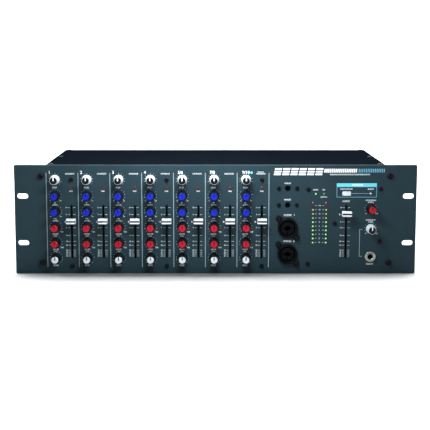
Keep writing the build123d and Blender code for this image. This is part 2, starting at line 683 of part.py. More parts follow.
# Mains inlet with its three blades
INLET_FACE_Y = REAR_Y + 2.0
with BuildPart() as mains_inlet:
    with BuildSketch(upright(REAR_Y)) as inlet_flange:
        with Locations(INLET):
            RectangleRounded(48.0, 23.0, 3.0)
            with GridLocations(40.0, 1, 2, 1):
                Circle(1.7, mode=Mode.SUBTRACT)
    extrude(amount=-2.0)
    with BuildSketch(upright(REAR_Y)) as inlet_body:
        with Locations(INLET):
            Rectangle(27.0, 19.6)
    extrude(amount=20.0)
    with BuildSketch(upright(INLET_FACE_Y)) as inlet_cavity:
        with Locations(INLET):
            RectangleRounded(24.0, 16.2, 1.5)
    extrude(amount=16.0, mode=Mode.SUBTRACT)
    with BuildSketch(upright(INLET_FACE_Y - 16.0)) as inlet_blades:
        with Locations((INLET[0] - 7.0, INLET[1] - 1.5), (INLET[0] + 7.0, INLET[1] - 1.5)):
            Rectangle(2.0, 4.0)
        with Locations((INLET[0], INLET[1] + 2.5)):
            Rectangle(2.0, 4.0)
    extrude(amount=-11.0)

# Frame of the power switch, with side holes for the rocker's pins
with BuildPart() as switch_frame:
    with BuildSketch(upright(REAR_Y)) as switch_bezel:
        with Locations(SWITCH):
            RectangleRounded(17.0, 25.0, 1.2)
    extrude(amount=-2.0)
    with BuildSketch(upright(REAR_Y)) as switch_case:
        with Locations(SWITCH):
            Rectangle(13.6, 21.2)
    extrude(amount=14.0)
    with BuildSketch(upright(REAR_Y + 2.0)) as switch_well:
        with Locations(SWITCH):
            Rectangle(12.2, 18.6)
    extrude(amount=13.0, mode=Mode.SUBTRACT)
    with BuildSketch(Plane(origin=switch_pivot, x_dir=(0, 1, 0), z_dir=(1, 0, 0))) as pin_holes:
        Circle(ROCKER_PIN_R + 0.45)
    extrude(amount=ROCKER_PIN_REACH + 2.0, both=True, mode=Mode.SUBTRACT)

save("sockets", [
    *front_combos, *rear_combos, *phones_jack, *rear_jacks,
    mini_sockets.part, mains_inlet.part, switch_frame.part,
])

# ------------------------------------------------------------------ fasteners
M3_R = 1.5
M4_R = 2.0


def screw(head_r, head_height, shank_r, length):
    """A cross-recess pan-head screw at the origin, head up, its seat on the plane z = 0."""
    with BuildPart() as one_screw:
        with BuildSketch() as head_round:
            Circle(head_r)
        extrude(amount=head_height)
        fillet(one_screw.faces().sort_by(Axis.Z)[-1].edges(), head_height * 0.6)
        with BuildSketch() as shank_round:
            Circle(shank_r)
        extrude(amount=-length)
        with BuildSketch(Plane.XY.offset(head_height)) as recess:
            Rectangle(head_r * 1.05, head_r * 0.24)
            Rectangle(head_r * 0.24, head_r * 1.05)
        extrude(amount=-head_height * 0.75, taper=12, mode=Mode.SUBTRACT)
    return one_screw.part


def screws(shape, points, turn):
    """Copies of one screw at each point, turned about X by the angle given."""
    return [Pos(*point) * Rot(turn, 0, 0) * shape for point in points]


corner_screw = screw(3.7, 2.2, M4_R, 6.0)
panel_screw = screw(2.6, 1.5, M3_R, 8.0)
socket_screw = screw(2.5, 1.4, M3_R, 6.0)
cover_screw = screw(2.9, 1.5, M3_R, 4.0)

with BuildPart() as standoffs:
    with BuildSketch(upright(BOARD_Y)) as standoff_hexes:
        with Locations(*PANEL_SCREWS):
            RegularPolygon(3.0, 6)
            Circle(M3_R + 0.1, mode=Mode.SUBTRACT)
    extrude(amount=BOARD_Y)
with BuildPart() as floor_posts:
    with BuildSketch(Plane.XY.offset(FLOOR_Z)) as post_hexes:
        with Locations((60.0, 76.0)):
            with GridLocations(100.0, 50.0, 2, 2):
                RegularPolygon(3.0, 6)
    extrude(amount=POWER_BOARD_Z - FLOOR_Z)

combo_face = FACE_Y - 2.2
save("fasteners", [
    *screws(corner_screw, [(x, FACE_Y, z) for x, z in CORNER_SCREWS], 90),
    *screws(panel_screw, [(x, FACE_Y, z) for x, z in PANEL_SCREWS], 90),
    *screws(socket_screw, [(x, FACE_Y, z) for x, z in MINI_SCREWS], 90),
    *screws(socket_screw, [(x, combo_face, z) for x, z in ear_points(COMBO_POINTS)], 90),
    *screws(cover_screw, [(x, y, TOP_Z) for x, y in COVER_SCREWS], 0),
    *screws(cover_screw, [(x, REAR_Y + SHEET, z) for x, z in LIP_SCREWS], -90),
    *screws(socket_screw, [(x, REAR_Y + 2.2, z) for x, z in ear_points(REAR_COMBO_POINTS)], -90),
    *screws(socket_screw, [(INLET[0] + s * 20.0, INLET_FACE_Y, INLET[1]) for s in (-1, 1)], -90),
    standoffs.part, floor_posts.part,
])
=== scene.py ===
import json
import math

import bmesh
import bpy
from mathutils import Matrix, Vector

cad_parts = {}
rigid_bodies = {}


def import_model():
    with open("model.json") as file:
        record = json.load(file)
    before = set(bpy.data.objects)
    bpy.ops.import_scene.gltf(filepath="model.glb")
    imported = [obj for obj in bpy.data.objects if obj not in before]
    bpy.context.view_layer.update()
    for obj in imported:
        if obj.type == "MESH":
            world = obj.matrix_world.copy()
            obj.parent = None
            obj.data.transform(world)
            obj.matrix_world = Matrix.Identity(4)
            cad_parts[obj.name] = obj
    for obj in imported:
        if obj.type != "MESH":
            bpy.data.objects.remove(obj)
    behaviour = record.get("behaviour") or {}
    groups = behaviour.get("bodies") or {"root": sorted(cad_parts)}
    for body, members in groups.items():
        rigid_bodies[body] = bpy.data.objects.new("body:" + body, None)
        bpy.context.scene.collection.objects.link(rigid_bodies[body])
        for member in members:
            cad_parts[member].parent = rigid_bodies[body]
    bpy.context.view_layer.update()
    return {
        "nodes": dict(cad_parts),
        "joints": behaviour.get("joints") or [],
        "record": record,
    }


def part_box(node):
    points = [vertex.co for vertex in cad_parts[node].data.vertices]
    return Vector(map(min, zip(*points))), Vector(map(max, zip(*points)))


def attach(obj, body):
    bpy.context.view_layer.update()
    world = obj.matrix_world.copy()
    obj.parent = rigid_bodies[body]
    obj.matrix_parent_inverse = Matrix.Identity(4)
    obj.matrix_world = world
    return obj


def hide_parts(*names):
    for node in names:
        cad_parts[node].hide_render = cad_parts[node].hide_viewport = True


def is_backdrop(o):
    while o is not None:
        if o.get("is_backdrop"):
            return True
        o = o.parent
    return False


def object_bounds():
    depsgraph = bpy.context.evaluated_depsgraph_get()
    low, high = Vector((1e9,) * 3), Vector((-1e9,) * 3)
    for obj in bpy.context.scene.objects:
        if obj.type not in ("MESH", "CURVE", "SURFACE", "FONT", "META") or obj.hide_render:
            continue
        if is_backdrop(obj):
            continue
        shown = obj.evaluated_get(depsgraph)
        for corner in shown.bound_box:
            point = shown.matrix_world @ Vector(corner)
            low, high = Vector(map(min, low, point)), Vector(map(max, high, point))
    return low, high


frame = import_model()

MM = 0.001
NODES = frame["nodes"]
JOINTS = {joint["child"]: joint for joint in frame["joints"]}

# The panel's face and the chassis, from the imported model
PANEL_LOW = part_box("front_panel")[0]
FACE_Y = PANEL_LOW.y
REAR_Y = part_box("chassis_tray")[1].y

STRIPS = ["ch1", "ch2", "ch3", "ch4", "ch5_6", "ch7_8", "ch9_10"]
STRIP_TEXT = ["1", "2", "3", "4", "5/6", "7/8", "9/10"]
KNOBS = ["trim_knob", "eq_high_knob", "eq_low_knob", "aux_1_knob", "aux_2_knob", "pan_knob"]


# ------------------------------------------------------------------ materials
def new_material(name, color, rough=0.5, metal=0.0, coat=0.0, specular=0.5):
    """A principled material with constant values on the shader's own sockets."""
    mat = bpy.data.materials.new(name)
    mat.use_nodes = True
    shader = mat.node_tree.nodes["Principled BSDF"]
    shader.inputs["Base Color"].default_value = (*color, 1)
    shader.inputs["Roughness"].default_value = rough
    shader.inputs["Metallic"].default_value = metal
    shader.inputs["Coat Weight"].default_value = coat
    shader.inputs["Coat Roughness"].default_value = 0.15
    shader.inputs["Specular IOR Level"].default_value = specular
    return mat, mat.node_tree, shader


def noise(tree, scale, detail=3.0, rough=0.55):
    """A noise texture in object space, so that its grain is in metres."""
    coords = tree.nodes.new("ShaderNodeTexCoord")
    texture = tree.nodes.new("ShaderNodeTexNoise")
    texture.inputs["Scale"].default_value = scale
    texture.inputs["Detail"].default_value = detail
    texture.inputs["Roughness"].default_value = rough
    tree.links.new(coords.outputs["Object"], texture.inputs["Vector"])
    return texture


def vary_color(tree, shader, color, spread, scale):
    """Broad, faint change of tone over a surface."""
    texture = noise(tree, scale)
    ramp = tree.nodes.new("ShaderNodeValToRGB")
    ramp.color_ramp.elements[0].position = 0.3
    ramp.color_ramp.elements[1].position = 0.7
    ramp.color_ramp.elements[0].color = (*[c * (1 - spread) for c in color], 1)
    ramp.color_ramp.elements[1].color = (*[min(1, c * (1 + spread)) for c in color], 1)
    tree.links.new(texture.outputs["Fac"], ramp.inputs["Fac"])
    tree.links.new(ramp.outputs["Color"], shader.inputs["Base Color"])


def vary_rough(tree, shader, low, high, scale):
    """Roughness that drifts between two values."""
    texture = noise(tree, scale)
    spread = tree.nodes.new("ShaderNodeMapRange")
    spread.inputs["From Min"].default_value = 0.3
    spread.inputs["From Max"].default_value = 0.7
    spread.inputs["To Min"].default_value = low
    spread.inputs["To Max"].default_value = high
    tree.links.new(texture.outputs["Fac"], spread.inputs["Value"])
    tree.links.new(spread.outputs["Result"], shader.inputs["Roughness"])


def grain(tree, shader, scale, strength, depth):
    """Fine surface relief."""
    texture = noise(tree, scale, 2.0)
    bump = tree.nodes.new("ShaderNodeBump")
    bump.inputs["Strength"].default_value = strength
    bump.inputs["Distance"].default_value = depth
    tree.links.new(texture.outputs["Fac"], bump.inputs["Height"])
    tree.links.new(bump.outputs["Normal"], shader.inputs["Normal"])


def powder_coat(name, color, rough, grain_scale, specular):
    mat, tree, shader = new_material(name, color, rough, specular=specular)
    vary_color(tree, shader, color, 0.07, 18.0)
    vary_rough(tree, shader, rough - 0.05, rough + 0.07, 60.0)
    grain(tree, shader, grain_scale, 0.25, 0.00004)
    return mat


def moulded(name, color, rough=0.38, coat=0.0, specular=0.3):
    mat, tree, shader = new_material(name, color, rough, coat=coat, specular=specular)
    vary_color(tree, shader, color, 0.05, 260.0)
    vary_rough(tree, shader, rough - 0.06, rough + 0.08, 400.0)
    grain(tree, shader, 5200.0, 0.18, 0.00003)
    return mat


def plated(name, color, rough):
    mat, tree, shader = new_material(name, color, rough, metal=1.0)
    vary_rough(tree, shader, rough - 0.06, rough + 0.1, 900.0)
    grain(tree, shader, 3000.0, 0.1, 0.00002)
    return mat


def ink(name, color):
    mat, tree, shader = new_material(name, color, 0.55)
    vary_color(tree, shader, color, 0.1, 900.0)
    grain(tree, shader, 4200.0, 0.2, 0.00002)
    return mat


def lens(name, color, glow, glow_color):
    mat, tree, shader = new_material(name, color, 0.2, coat=0.25, specular=0.2)
    vary_color(tree, shader, color, 0.12, 700.0)
    shader.inputs["Emission Color"].default_value = (*glow_color, 1)
    shader.inputs["Emission Strength"].default_value = glow
    return mat


PANEL = powder_coat("panel_powder_coat", (0.0132, 0.0290, 0.0380), 0.5, 2600.0, 0.07)
CHASSIS = powder_coat("chassis_powder_coat", (0.006, 0.009, 0.013), 0.55, 1500.0, 0.12)
# The top cover is the tray's black paint, given a darker, fully matt copy: painted shade on the top
SHADED_COVER_COAT = powder_coat("cover_powder_coat_painted_shade", (0.0029, 0.0048, 0.0071), 0.78, 1500.0, 0.0)
BLACK = moulded("black_plastic", (0.003, 0.004, 0.006), 0.42, specular=0.12)
SOCKET = moulded("socket_plastic", (0.002, 0.003, 0.004), 0.40, specular=0.04)
DEEP = moulded("socket_shadow_gap", (0.0006, 0.0008, 0.001), 0.8, specular=0.02)
GREY = moulded("light_grey_plastic", (0.40, 0.47, 0.52), 0.42)
BLUE = moulded("blue_cap_plastic", (0.002, 0.013, 0.31), 0.4, specular=0.12)
RED = moulded("red_cap_plastic", (0.32, 0.004, 0.017), 0.4, specular=0.12)
WHITE = moulded("white_cap_plastic", (0.48, 0.54, 0.59), 0.4)
FADER_WHITE = moulded("fader_white_plastic", (0.50, 0.55, 0.58), 0.35)
SCREW = plated("black_zinc", (0.012, 0.013, 0.017), 0.42)
NICKEL = plated("nickel_plate", (0.24, 0.26, 0.235), 0.2)
STEEL = plated("bright_steel", (0.55, 0.56, 0.58), 0.32)
INK_WHITE = ink("print_white_ink", (0.50, 0.58, 0.62))
INK_BRIGHT = ink("print_bright_ink", (0.74, 0.80, 0.83))
INK_LINE = ink("print_line_ink", (0.17, 0.25, 0.28))
INK_CYAN = ink("print_cyan_ink", (0.08, 0.48, 0.56))
INK_BLUE = ink("print_blue_ink", (0.09, 0.30, 0.44))
GREEN_RIM = lens("light_green_rim", (0.004, 0.065, 0.012), 0.035, (0.05, 1.0, 0.12))
GREEN_LIT = lens("light_green_lit", (0.12, 0.34, 0.12), 0.68, (0.66, 0.98, 0.58))
LINK_GREEN = lens("light_link_lit", (0.06, 0.16, 0.06), 0.22, (0.60, 0.85, 0.50))
AMBER_RIM = lens("light_amber_rim", (0.035, 0.06, 0.010), 0.02, (0.50, 1.0, 0.2))
AMBER = lens("light_amber_lit", (0.14, 0.16, 0.08), 0.42, (0.84, 0.88, 0.60))
DARK_RED = lens("light_red_unlit", (0.085, 0.003, 0.009), 0.03, (1.0, 0.06, 0.10))
WHITE_LIT = lens("light_white_lit", (0.50, 0.60, 0.66), 0.45, (0.85, 0.95, 1.0))
BOARD = moulded("solder_mask", (0.012, 0.075, 0.030), 0.3, 0.3)
TIN = plated("tinned_case", (0.50, 0.51, 0.52), 0.35)


# --------------------------------------------------------------- mesh helpers
def link(name, mesh, body, mats):
    """A finished mesh as a piece that rides on a body."""
    for mat in mats:
        mesh.materials.append(mat)
    piece = bpy.data.objects.new(name, mesh)
    bpy.context.scene.collection.objects.link(piece)
    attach(piece, body)
    return piece


def to_mesh(bm, name, smooth_angle=35):
    """Ends a bmesh: faces turned outwards, and shaded smooth up to an angle."""
    bmesh.ops.recalc_face_normals(bm, faces=bm.faces)
    mesh = bpy.data.meshes.new(name)
    for face in bm.faces:
        face.smooth = True
    limit = math.radians(smooth_angle)
    for edge in bm.edges:
        edge.smooth = len(edge.link_faces) == 2 and edge.calc_face_angle(0.0) < limit
    bm.to_mesh(mesh)
    bm.free()
    return mesh


def rounded(profile, reach=0.25, steps=2):
    """The profile with each inner corner cut back and rounded by a short curve."""
    out = [profile[0]]
    for before, here, after in zip(profile, profile[1:], profile[2:]):
        here = Vector(here)
        back = Vector(before) - here
        forth = Vector(after) - here
        cut = min(reach, back.length * 0.45, forth.length * 0.45)
        start = here + back.normalized() * cut
        end = here + forth.normalized() * cut
        for i in range(steps + 1):
            t = i / steps
            point = start.lerp(here, t).lerp(here.lerp(end, t), t)
            out.append((point.x, point.y))
    out.append(profile[-1])
    return out


def turned_rings(bm, profile, segments, centre, shape):
    """A ring of points for each (radius, height) in mm, about an axis that points to -Y."""
    rings = []
    for radius, height in profile:
        ring = []
        for i in range(segments):
            angle = 2 * math.pi * i / segments
            r = radius * (shape(angle, height) if shape else 1.0)
            x = centre[0] + r * math.sin(angle)
            z = centre[1] + r * math.cos(angle)
            ring.append(bm.verts.new((x * MM, -height * MM, z * MM)))
        rings.append(ring)
    return rings


def band_faces(bm, lowers, uppers, material):
    """Faces between each ring and the next."""
    for lower, upper in zip(lowers, uppers):
        segments = len(lower)
        for i in range(segments):
            j = (i + 1) % segments
            face = bm.faces.new((lower[i], lower[j], upper[j], upper[i]))
            face.material_index = material


def turn(bm, profile, segments=48, centre=(0, 0), material=0, shape=None):
    """Turns a profile of (radius, height) in mm about an axis that points to -Y.
    shape(angle, height) scales the radius, for flutes. Both ends close on the axis."""
    rings = turned_rings(bm, profile, segments, centre, shape)
    band_faces(bm, rings, rings[1:], material)
    for ring in (rings[0], rings[-1]):
        face = bm.faces.new(ring)
        face.material_index = material


def ring_turn(bm, profile, segments=48, centre=(0, 0), material=0, shape=None):
    """As turn, but the profile is a closed loop, so the result is a ring with a hole."""
    rings = turned_rings(bm, profile, segments, centre, shape)
    band_faces(bm, rings, rings[1:] + rings[:1], material)


def block(bm, low, high, bevel=0.0, segments=2, material=0):
    """A box between two corners in mm, with rounded edges."""
    made = bmesh.ops.create_cube(bm, size=1.0)["verts"]
    low = Vector(low)
    high = Vector(high)
    size = high - low
    middle = (high + low) / 2
    for vert in made:
        vert.co = Vector([middle[k] + vert.co[k] * size[k] for k in range(3)]) * MM
    faces = {face for vert in made for face in vert.link_faces}
    for face in faces:
        face.material_index = material
    if bevel:
        edges = list({edge for vert in made for edge in vert.link_edges})
        bmesh.ops.bevel(
            bm, geom=edges, offset=bevel * MM, segments=segments, affect="EDGES", profile=0.5,
            material=material,
        )


# -------------------------------------------------------------------- knobs
KNOB_GAP = 0.8
BASE_R = 5.9
TOP_R = 4.75
CAP_R = 4.1
BODY_TOP = 10.4
CAP_SEAT = 9.0
CAP_TOP = 11.5
FLUTES = 18


def flutes(angle, height):
    """Finger flutes round the grip, fading out at its top and above the skirt."""
    if height < 2.9 or height > BODY_TOP - 0.6:
        return 1.0
    return 1.0 - 0.045 * max(0.0, math.cos(FLUTES * angle)) ** 2


def knob_body_mesh(name):
    bm = bmesh.new()
    side = [
        (3.05, CAP_SEAT - 1.5), (3.05, KNOB_GAP), (BASE_R, KNOB_GAP), (BASE_R, 2.2),
        (BASE_R - 0.45, 2.7), (BASE_R - 0.5, 3.1), (TOP_R + 0.62, 5.8), (TOP_R + 0.3, 7.9),
        (TOP_R + 0.08, BODY_TOP - 0.7), (TOP_R - 0.1, BODY_TOP), (CAP_R + 0.06, BODY_TOP),
        (CAP_R + 0.06, CAP_SEAT),
    ]
    turn(bm, rounded(side, 0.22), 108, shape=flutes)
    return to_mesh(bm, name, 50)


def knob_cap_mesh(name):
    """The coloured cap with a shallow dish, and its pointer as a raised rib (second material)."""
    bm = bmesh.new()
    dome = [
        (CAP_R, CAP_SEAT + 0.05), (CAP_R, CAP_TOP - 0.55), (CAP_R - 0.35, CAP_TOP - 0.08),
        (CAP_R - 0.9, CAP_TOP), (1.4, CAP_TOP - 0.18), (0.05, CAP_TOP - 0.22),
    ]
    turn(bm, rounded(dome, 0.25), 64)
    rib_low = (-0.62, -CAP_TOP - 0.06, -0.1)
    rib_high = (0.62, -CAP_TOP + 0.5, CAP_R - 0.12)
    block(bm, rib_low, rib_high, 0.16, material=1)
    return to_mesh(bm, name, 40)


def knob_tip_mesh(name):
    """The pointer's end, let into the rim and upper flank of the body."""
    bm = bmesh.new()
    block(bm, (-0.6, -BODY_TOP - 0.08, CAP_R + 0.1), (0.6, -BODY_TOP + 0.6, TOP_R + 0.02), 0.12)
    block(bm, (-0.6, -BODY_TOP + 0.2, TOP_R - 0.35), (0.6, -BODY_TOP + 2.6, TOP_R + 0.2), 0.12)
    return to_mesh(bm, name)


def shaft_mesh(name):
    bm = bmesh.new()
    turn(bm, rounded([(0.02, -12.0), (2.95, -12.0), (2.95, 7.4), (0.02, 7.4)], 0.3), 40)
    return to_mesh(bm, name)


def with_mats(mesh, mats):
    for mat in mats:
        mesh.materials.append(mat)
    return mesh


LOOKS = {
    "trim_knob": (GREY, BLACK, INK_BRIGHT, "grey_knob"),
    "eq_high_knob": (BLACK, BLUE, BLACK, "blue_knob"),
    "eq_low_knob": (BLACK, BLUE, BLACK, "blue_knob"),
    "aux_1_knob": (BLACK, RED, BLACK, "red_knob"),
    "aux_2_knob": (BLACK, RED, BLACK, "red_knob"),
    "pan_knob": (BLACK, WHITE, BLACK, "white_cap_knob"),
    "aux_return_knob": (BLACK, RED, BLACK, "red_knob"),
    "phones_level_knob": (GREY, BLACK, INK_BRIGHT, "grey_knob"),
}
SHAFT_MESH = with_mats(shaft_mesh("knob_shaft"), [STEEL])
KNOB_MESHES = {}
for kind, (body_mat, cap_mat, line_mat, slot_name) in LOOKS.items():
    KNOB_MESHES[kind] = [
        ("body", with_mats(knob_body_mesh(kind + "_body"), [body_mat])),
        ("cap", with_mats(knob_cap_mesh(kind + "_cap"), [cap_mat, line_mat])),
        ("pointer", with_mats(knob_tip_mesh(kind + "_pointer"), [line_mat])),
        ("shaft", SHAFT_MESH),
    ]


def place_knob(node, kind):
    """Four pieces on the knob's own body, at its axis."""
    x, _, z = JOINTS[node]["pos_m"]
    for part, mesh in KNOB_MESHES[kind]:
        piece = bpy.data.objects.new(f"{node}_{part}", mesh)
        bpy.context.scene.collection.objects.link(piece)
        piece.location = (x, FACE_Y, z)
        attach(piece, node)
        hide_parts(node)


for strip in STRIPS:
    for knob in KNOBS:
        place_knob(f"{strip}_{knob}", knob)
place_knob("aux_return_knob", "aux_return_knob")
place_knob("phones_level_knob", "phones_level_knob")


# -------------------------------------------------------------------- faders
def fader_cap_mesh(name, half_width, half_height, back, top):
    """A finger cap: two white shoulders with a groove between them, and ribs on the flanks."""
    side = [
        (-half_height, back), (-half_height * 0.96, top - 1.5), (-half_height * 0.86, top - 0.25),
        (-half_height * 0.62, top), (-half_height * 0.34, top - 0.42), (-0.62, top - 0.72),
        (-0.52, top - 1.2), (0.52, top - 1.2), (0.62, top - 0.72), (half_height * 0.34, top - 0.42),
        (half_height * 0.62, top), (half_height * 0.86, top - 0.25),
        (half_height * 0.96, top - 1.5), (half_height, back),
    ]
    bm = bmesh.new()
    ends = []
    inset = 0.35
    shoulder = half_width - inset
    stations = [(-half_width, inset), (-shoulder, 0), (shoulder, 0), (half_width, inset)]
    for x, shrink in stations:
        ring = []
        for z, h in side:
            z_in = math.copysign(max(abs(z) - shrink, 0.12), z)
            h_in = max(h - shrink, back) if h > back else back
            ring.append(bm.verts.new((x * MM, -h_in * MM, z_in * MM)))
        ends.append(ring)
    count = len(side)
    for first, second in zip(ends, ends[1:]):
        for i in range(count):
            j = (i + 1) % count
            bm.faces.new((first[i], first[j], second[j], second[i]))
    bm.faces.new(ends[0])
    bm.faces.new(ends[-1])
    for side_sign in (-1, 1):
        for i in range(4):
            depth = back + 0.9 + i * 1.1
            edge = side_sign * half_height * 0.985
            block(
                bm, (-half_width + 1.0, -depth - 0.28, min(edge, edge + side_sign * 0.14)),
                (half_width - 1.0, -depth + 0.28, max(edge, edge + side_sign * 0.14)), 0.05, 1,
            )
    return to_mesh(bm, name, 30)


def fader_line_mesh(name, half_width, top):
    bm = bmesh.new()
    block(bm, (-half_width + 0.05, -top + 0.5, -0.85), (half_width - 0.05, -top + 1.4, 0.85), 0.08)
    return to_mesh(bm, name)


def fader_lever_mesh(name):
    """The steel lever and the carriage that it stands on."""
    bm = bmesh.new()
    block(bm, (-0.6, -7.0, -2.0), (0.6, 9.2, 2.0), 0.12)
    block(bm, (-2.5, 9.0, -3.0), (2.5, 11.4, 3.0), 0.3, material=1)
    return to_mesh(bm, name)


for node in [f"{strip}_fader" for strip in STRIPS] + ["master_fader"]:
    low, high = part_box(node)
    middle = (low + high) / 2
    half_width = (high.x - low.x) / 2 / MM + 0.1
    half_height = (high.z - low.z) / 2 / MM
    top = (FACE_Y - low.y) / MM - 0.05
    for part, mesh, mats in (
        ("cap", fader_cap_mesh(node + "_cap", half_width, half_height, 3.4, top), [FADER_WHITE]),
        ("line", fader_line_mesh(node + "_line", half_width, top), [BLACK]),
        ("lever", fader_lever_mesh(node + "_lever"), [STEEL, BLACK]),
    ):
        slot_name = "nickel" if part == "lever" else "white_fader"
        piece = link(f"{node}_{part}", mesh, node, mats)
        piece.location = (middle.x, FACE_Y, middle.z)
        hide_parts(node)


# ------------------------------------------------- parts split from CAD nodes
def islands(node):
    """The separate solids of a CAD node as lists of faces, with the box of each in mm."""
    bm = bmesh.new()
    bm.from_mesh(NODES[node].data)
    bmesh.ops.remove_doubles(bm, verts=bm.verts, dist=1e-7)
    bm.verts.ensure_lookup_table()
    seen = set()
    found = []
    for start in bm.verts:
        if start in seen:
            continue
        stack = [start]
        seen.add(start)
        group = []
        while stack:
            vert = stack.pop()
            group.append(vert)
            for edge in vert.link_edges:
                other = edge.other_vert(vert)
                if other not in seen:
                    seen.add(other)
                    stack.append(other)
        low = Vector([min(v.co[k] for v in group) for k in range(3)]) / MM
        high = Vector([max(v.co[k] for v in group) for k in range(3)]) / MM
        found.append((group, low, high))
    return bm, found


def gather(groups, name, body, mats, node, pick=None):
    """One piece from several solids of a node. pick(face centre in mm) gives a material index."""
    out = bmesh.new()
    for group in groups:
        new = {vert: out.verts.new(vert.co) for vert in group}
        faces = {face for vert in group for face in vert.link_faces}
        for face in faces:
            made = out.faces.new([new[vert] for vert in face.verts])
            made.material_index = pick(face.calc_center_median() / MM) if pick else 0
    piece = link(name, to_mesh(out, name, 32), body, mats)
    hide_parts(node)
    return piece


def split_node(node, classes, default):
    """Shares a node's solids out to named pieces: classes is [(name, slot, mats, test, pick)]."""
    bm, found = islands(node)
    body = "unit"
    left = list(found)
    for name, slot_name, mats, test, pick in classes:
        chosen = [item for item in left if test(item[1], item[2])]
        left = [item for item in left if item not in chosen]
        if chosen:
            gather([item[0] for item in chosen], name, body, mats, node, pick)
    if left:
        gather([item[0] for item in left], default[0], body, default[2], node)
    bm.free()


FACE_MM = FACE_Y / MM


def is_lens(low, high):
    return low.y < FACE_MM - 0.5 and high.x - low.x < 3.5 and high.z - low.z < 3.5


def is_transformer(low, high):
    return high.z - low.z > 30 and 120 < low.x < 150 and low.y > 30


def inside_of_height(height):
    """A test for a solid of that height that stands well behind the panel."""
    return lambda low, high: abs(high.z - low.z - height) < 0.5 and low.y > 30


LENS_BM, SOLIDS = islands("circuit_boards")
LENSES = [((low + high) / 2, (high.x - low.x) / 2) for _, low, high in SOLIDS if is_lens(low, high)]
LENS_BM.free()
split_node("circuit_boards", [
    ("light_pegs", "black_plastic", [BLACK], is_lens, None),
    ("potentiometers", "nickel", [TIN], lambda a, b: abs(b.x - a.x - 9.8) < 0.2 and b.y < 13, None),
    ("fader_tracks", "black_plastic", [BLACK], lambda a, b: abs(b.z - a.z - 73.0) < 0.5, None),
    ("transformer", "nickel", [TIN], is_transformer, None),
    ("capacitors", "black_plastic", [BLACK], inside_of_height(32), None),
    ("heat_sink", "nickel", [STEEL], inside_of_height(35), None),
    ("ribbon_cables", "white_button", [GREY], lambda a, b: b.y - a.y > 80, None),
], ("printed_boards", "circuit_board", [BOARD]))


def is_nut(low, high):
    return abs(high.x - low.x - 13.2) < 0.2 and high.y - low.y < 3.0


INLET = None
COMBOS = []
REAR_NUTS = []
socket_bm, socket_solids = islands("sockets")
for _, low, high in socket_solids:
    if abs(high.x - low.x - 48.0) < 0.5:
        INLET = (low + high) / 2
        INLET_FACE = high.y
    elif high.x - low.x > 24.0:
        COMBOS.append((low + high) / 2)
    elif is_nut(low, high) and low.y > 0:
        REAR_NUTS.append((low + high) / 2)
socket_bm.free()


def on_blade(point):
    """True inside the mains inlet's well, where only the blades stand."""
    near = abs(point.x - INLET.x) < 8.5 and abs(point.z - INLET.z) < 6.0
    deep = INLET_FACE - 15.9 < point.y < INLET_FACE - 4.0
    return 1 if near and deep else 0


def is_mini(low, high):
    return abs(high.x - low.x - 11.0) < 0.3 and high.z - low.z < 12


def is_inlet(low, high):
    return abs(high.x - low.x - 48.0) < 0.5


def is_switch_frame(low, high):
    return abs(high.z - low.z - 25.0) < 0.3


split_node("sockets", [
    ("jack_nuts", "nickel", [NICKEL], is_nut, None),
    ("mains_inlet", "socket_black", [SOCKET, NICKEL], is_inlet, on_blade),
    ("power_switch_frame", "socket_black", [SOCKET], is_switch_frame, None),
    ("mini_sockets", "socket_black", [SOCKET], is_mini, None),
    ("combination_sockets", "socket_black", [SOCKET], lambda a, b: b.x - a.x > 24.0, None),
], ("jack_bodies", "socket_black", [SOCKET]))

# CAD nodes that keep their own shape
for node, mat in (
    ("front_panel", PANEL), ("chassis_tray", CHASSIS), ("top_cover", SHADED_COVER_COAT),
    ("fasteners", SCREW), ("power_switch", SOCKET),
):
    data = NODES[node].data
    for index in range(max(1, len(data.materials))):
        if index < len(data.materials):
            data.materials[index] = mat
        else:
            data.materials.append(mat)

# ------------------------------------------------------------- pairing button
low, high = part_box("pair_button")
button_mid = (low + high) / 2 / MM
bm = bmesh.new()
block(bm, (-5.0, -1.3, -2.5), (5.0, 3.4, 2.5), 0.45, 3)
block(bm, (-6.3, 3.6, -3.8), (6.3, 4.6, 3.8), 0.2)
turn(bm, [(0.02, -10.6), (1.6, -10.6), (1.6, -4.5), (0.02, -4.5)], 24)
button_mesh = to_mesh(bm, "pair_button_cap")
piece = link("pair_button_cap", button_mesh, "pair_button", [WHITE])
piece.location = (button_mid.x * MM, FACE_Y, button_mid.z * MM)
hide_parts("pair_button")

# ---------------------------------------------------------------------- lights
METER_RED_Z = 15.0
METER_AMBER_Z = -0.5


def light_look(point, radius):
    """Which lens a light has, from its place on the panel."""
    if radius < 1.3:
        return "status_light", WHITE_LIT, WHITE_LIT, "light_white"
    if point.z > 35:
        return "peak_lights", DARK_RED, DARK_RED, "light_red"
    if point.z > 25:
        if point.x < 125:
            return "power_light", GREEN_RIM, GREEN_LIT, "light_green"
        return "link_light", GREEN_RIM, LINK_GREEN, "light_green"
    if point.z > METER_RED_Z:
        return "meter_red_lights", DARK_RED, DARK_RED, "light_red"
    if point.z > METER_AMBER_Z:
        return "meter_amber_lights", AMBER_RIM, AMBER, "light_amber"
    return "meter_green_lights", GREEN_RIM, GREEN_LIT, "light_green"


